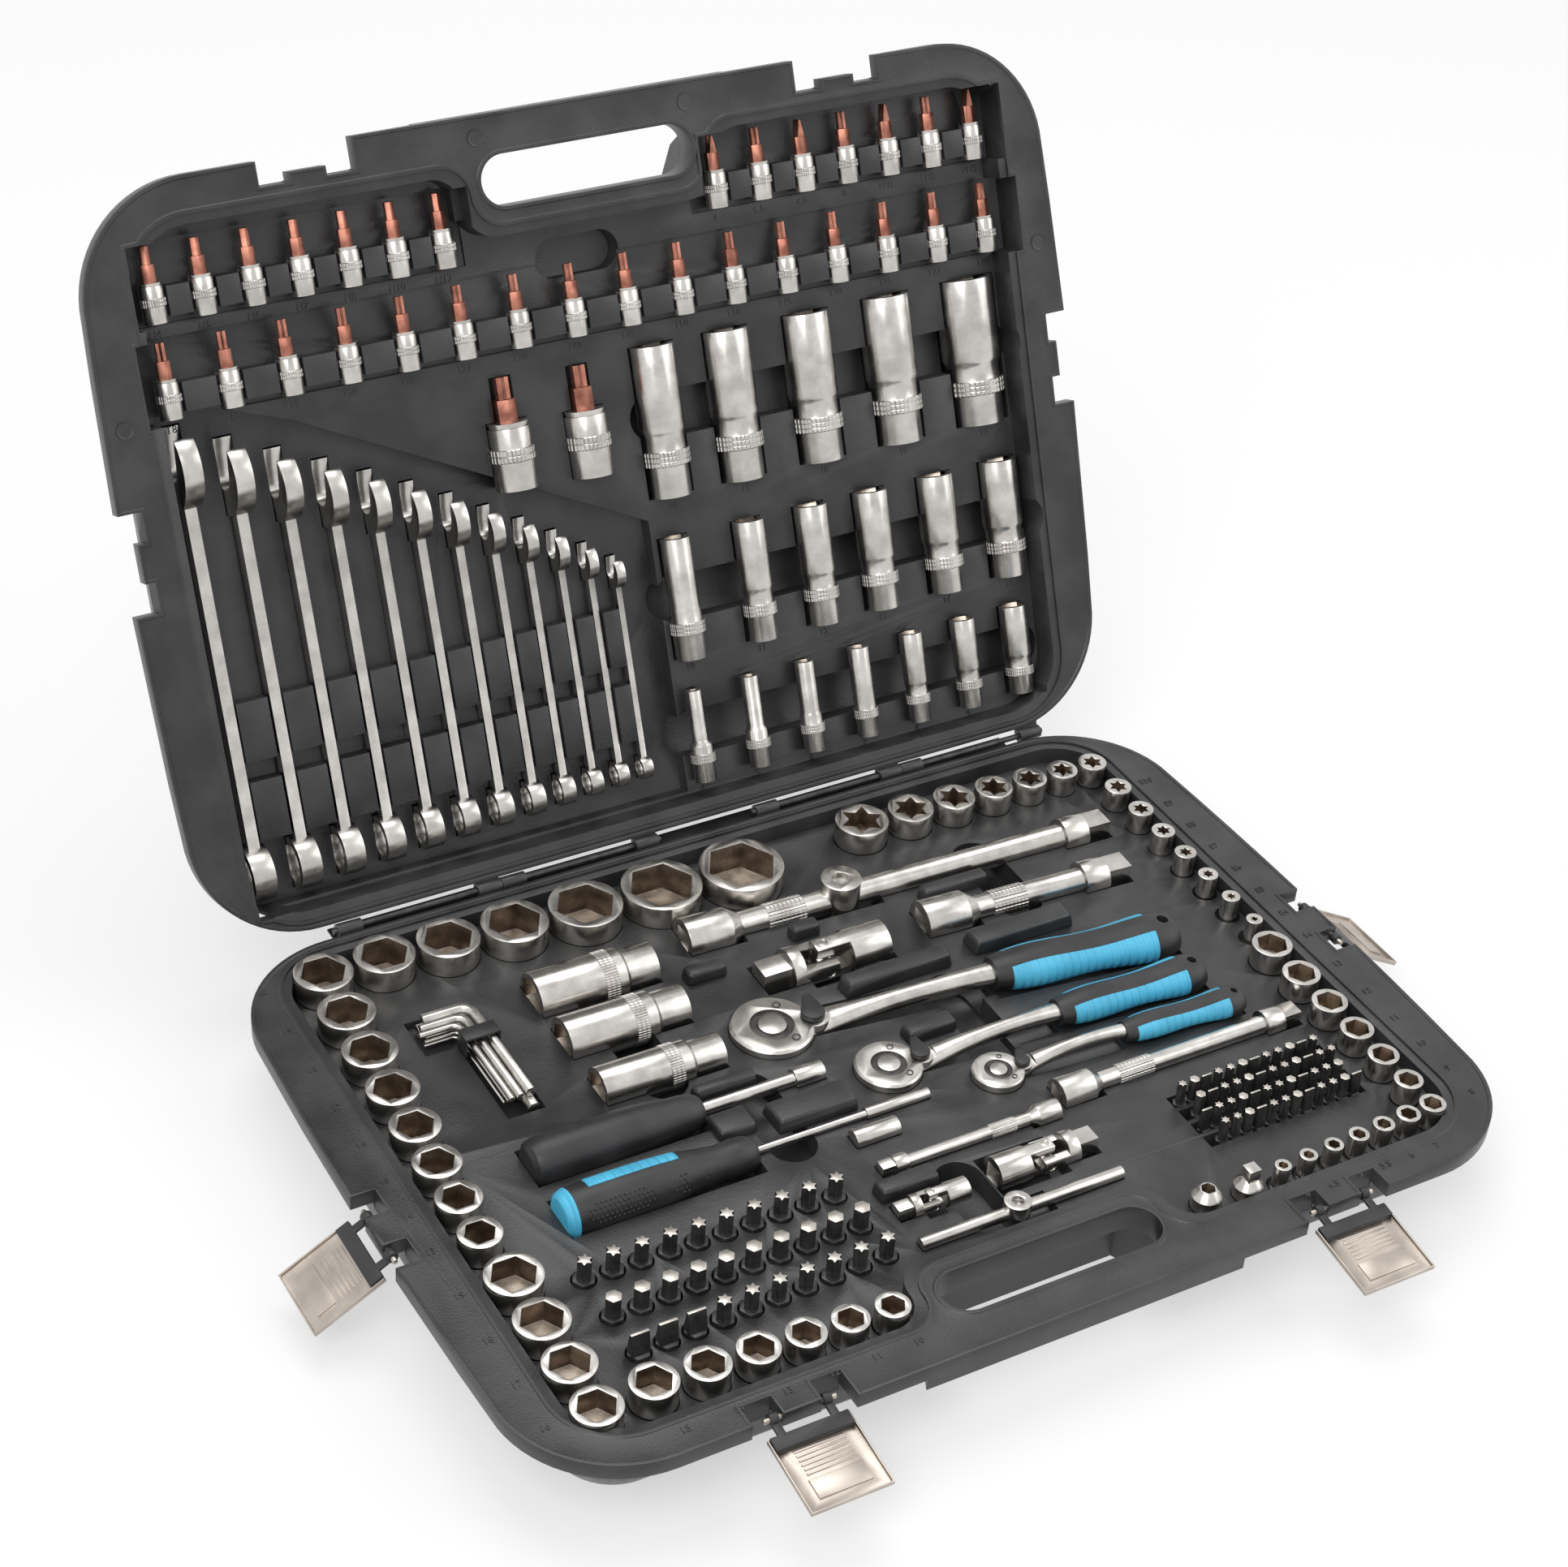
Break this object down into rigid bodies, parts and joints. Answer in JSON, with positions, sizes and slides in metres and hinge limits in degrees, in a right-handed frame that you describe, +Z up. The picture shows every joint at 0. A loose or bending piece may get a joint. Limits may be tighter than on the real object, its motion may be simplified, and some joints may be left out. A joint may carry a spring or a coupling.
{
  "type": "socket wrench set in case",
  "caption": "Open hinged tool case with moulded trays holding sockets, bits, spanners, ratchets, extension bars, universal joints and drivers; latches, lid and ratchet parts move.",
  "frame": {"origin": "centre of the base's flat underside, level with the table", "axes": "+X along the hinge to the right as seen from the front, +Y back towards the hinge, +Z up"},
  "size_m": [0.6028, 0.5922, 0.3915],
  "materials": {
    "case": "satin",
    "latch_steel": "satin",
    "black_plastic": "satin",
    "blue_rubber": "matte",
    "black_steel": "satin",
    "copper_steel": "satin",
    "wire_steel": "satin",
    "nickel": "satin"
  },
  "bodies": {
    "base": {"base_half": "case", "drive_adapters": "nickel", "driver_handles": "black_plastic", "driver_inlay": "blue_rubber", "driver_shafts": "nickel", "extension_bars": "nickel", "half_inch_sockets": "nickel", "half_joint_inner_fork": "nickel", "half_ratchet_body": "nickel", "half_ratchet_grip": "black_plastic", "half_ratchet_inlay": "blue_rubber", "hex_key_clip": "black_plastic", "hex_keys": "nickel", "hinge_rods": "black_steel", "large_bits": "black_steel", "latch_pins": "wire_steel", "long_extension_bar": "nickel", "quarter_inch_sockets": "nickel", "quarter_joint_inner_fork": "nickel", "quarter_ratchet_body": "nickel", "quarter_ratchet_grip": "black_plastic", "quarter_ratchet_inlay": "blue_rubber", "small_bits": "black_steel", "spark_plug_sockets": "nickel", "star_sockets": "nickel", "three_eighth_sockets": "nickel", "three_joint_inner_fork": "nickel", "three_ratchet_body": "nickel", "three_ratchet_grip": "black_plastic", "three_ratchet_inlay": "blue_rubber"},
    "lid": {"lid_half": "case", "bit_sleeves": "nickel", "bit_tips": "copper_steel", "deep_sockets": "nickel", "combination_spanners": "nickel"},
    "latch_front_left": {"latch_plate_front_left": "latch_steel", "latch_bracket_front_left": "black_plastic"},
    "latch_front_right": {"latch_plate_front_right": "latch_steel", "latch_bracket_front_right": "black_plastic"},
    "latch_left": {"latch_plate_left": "latch_steel", "latch_bracket_left": "black_plastic"},
    "latch_right": {"latch_plate_right": "latch_steel", "latch_bracket_right": "black_plastic"},
    "tee_slider": {"tee_slider": "nickel"},
    "tee_bar_slider": {"tee_bar_slider": "nickel"},
    "half_joint_cross": {"half_joint_cross": "nickel"},
    "half_joint_outer_fork": {"half_joint_outer_fork": "nickel"},
    "three_joint_cross": {"three_joint_cross": "nickel"},
    "three_joint_outer_fork": {"three_joint_outer_fork": "nickel"},
    "quarter_joint_cross": {"quarter_joint_cross": "nickel"},
    "quarter_joint_outer_fork": {"quarter_joint_outer_fork": "nickel"},
    "half_ratchet_drive": {"half_ratchet_drive": "nickel"},
    "half_ratchet_button": {"half_ratchet_button": "nickel"},
    "half_ratchet_lever": {"half_ratchet_lever": "black_plastic"},
    "three_ratchet_drive": {"three_ratchet_drive": "nickel"},
    "three_ratchet_button": {"three_ratchet_button": "nickel"},
    "three_ratchet_lever": {"three_ratchet_lever": "black_plastic"},
    "quarter_ratchet_drive": {"quarter_ratchet_drive": "nickel"},
    "quarter_ratchet_button": {"quarter_ratchet_button": "nickel"},
    "quarter_ratchet_lever": {"quarter_ratchet_lever": "black_plastic"}
  },
  "joints": [
    {"name": "lid_hinge", "type": "hinge", "parent": "base", "child": "lid", "pos_m": [0, 0.188, 0.046], "axis": [1, 0, 0], "range_deg": [0, 113.2]},
    {"name": "latch_front_left_swing", "type": "hinge", "parent": "base", "child": "latch_front_left", "pos_m": [-0.144, -0.1808, 0.0418], "axis": [-1, 0, 0], "range_deg": [0, 98]},
    {"name": "latch_front_right_swing", "type": "hinge", "parent": "base", "child": "latch_front_right", "pos_m": [0.144, -0.1808, 0.0418], "axis": [-1, 0, 0], "range_deg": [0, 98]},
    {"name": "latch_left_swing", "type": "hinge", "parent": "base", "child": "latch_left", "pos_m": [-0.2613, -0.011, 0.0418], "axis": [0, 1, 0], "range_deg": [0, 120]},
    {"name": "latch_right_swing", "type": "hinge", "parent": "base", "child": "latch_right", "pos_m": [0.2613, -0.011, 0.0418], "axis": [0, -1, 0], "range_deg": [0, 120]},
    {"name": "tee_slider_slide", "type": "slide", "parent": "base", "child": "tee_slider", "axis": [0.9995, -0.0327, 0], "range_m": [-0.01, 0.01]},
    {"name": "tee_bar_slider_slide", "type": "slide", "parent": "base", "child": "tee_bar_slider", "axis": [1, 0, 0], "range_m": [-0.012, 0.012]},
    {"name": "half_joint_lift", "type": "hinge", "parent": "base", "child": "half_joint_cross", "pos_m": [0.0165, 0.0775, 0.0365], "axis": [0, 1, 0], "range_deg": [-35, 0]},
    {"name": "half_joint_sway", "type": "hinge", "parent": "half_joint_cross", "child": "half_joint_outer_fork", "pos_m": [0.0165, 0.0775, 0.0365], "axis": [0, 0, 1], "range_deg": [-6, 6]},
    {"name": "three_joint_lift", "type": "hinge", "parent": "base", "child": "three_joint_cross", "pos_m": [0.03895, -0.0908, 0.0365], "axis": [0, -1, 0], "range_deg": [-35, 0]},
    {"name": "three_joint_sway", "type": "hinge", "parent": "three_joint_cross", "child": "three_joint_outer_fork", "pos_m": [0.03895, -0.0908, 0.0365], "axis": [0, 0, 1], "range_deg": [-6, 6]},
    {"name": "quarter_joint_lift", "type": "hinge", "parent": "base", "child": "quarter_joint_cross", "pos_m": [-0.024, -0.0928, 0.0365], "axis": [0, 1, 0], "range_deg": [-35, 0]},
    {"name": "quarter_joint_sway", "type": "hinge", "parent": "quarter_joint_cross", "child": "quarter_joint_outer_fork", "pos_m": [-0.024, -0.0928, 0.0365], "axis": [0, 0, 1], "range_deg": [-6, 6]},
    {"name": "half_ratchet_drive_spin", "type": "hinge", "parent": "base", "child": "half_ratchet_drive", "pos_m": [-0.0314, 0.0422, 0.0395], "axis": [0, 0, 1], "continuous": true},
    {"name": "half_ratchet_button_press", "type": "slide", "parent": "half_ratchet_drive", "child": "half_ratchet_button", "axis": [0, 0, -1], "range_m": [0, 0.0025], "stiffness_N_per_m": 800},
    {"name": "half_ratchet_lever_swing", "type": "hinge", "parent": "base", "child": "half_ratchet_lever", "pos_m": [-0.01004, 0.03977, 0.0395], "axis": [0, 0, 1], "range_deg": [0, 60]},
    {"name": "three_ratchet_drive_spin", "type": "hinge", "parent": "base", "child": "three_ratchet_drive", "pos_m": [0.0055, -0.0065, 0.0395], "axis": [0, 0, 1], "continuous": true},
    {"name": "three_ratchet_button_press", "type": "slide", "parent": "three_ratchet_drive", "child": "three_ratchet_button", "axis": [0, 0, -1], "range_m": [0, 0.002], "stiffness_N_per_m": 800},
    {"name": "three_ratchet_lever_swing", "type": "hinge", "parent": "base", "child": "three_ratchet_lever", "pos_m": [0.02269, -0.00715, 0.0395], "axis": [0, 0, 1], "range_deg": [0, 60]},
    {"name": "quarter_ratchet_drive_spin", "type": "hinge", "parent": "base", "child": "quarter_ratchet_drive", "pos_m": [0.0513, -0.0326, 0.0395], "axis": [0, 0, 1], "continuous": true},
    {"name": "quarter_ratchet_button_press", "type": "slide", "parent": "quarter_ratchet_drive", "child": "quarter_ratchet_button", "axis": [0, 0, -1], "range_m": [0, 0.00155], "stiffness_N_per_m": 800},
    {"name": "quarter_ratchet_lever_swing", "type": "hinge", "parent": "base", "child": "quarter_ratchet_lever", "pos_m": [0.06461, -0.0333, 0.0395], "axis": [0, 0, 1], "range_deg": [0, 60]}
  ]
}
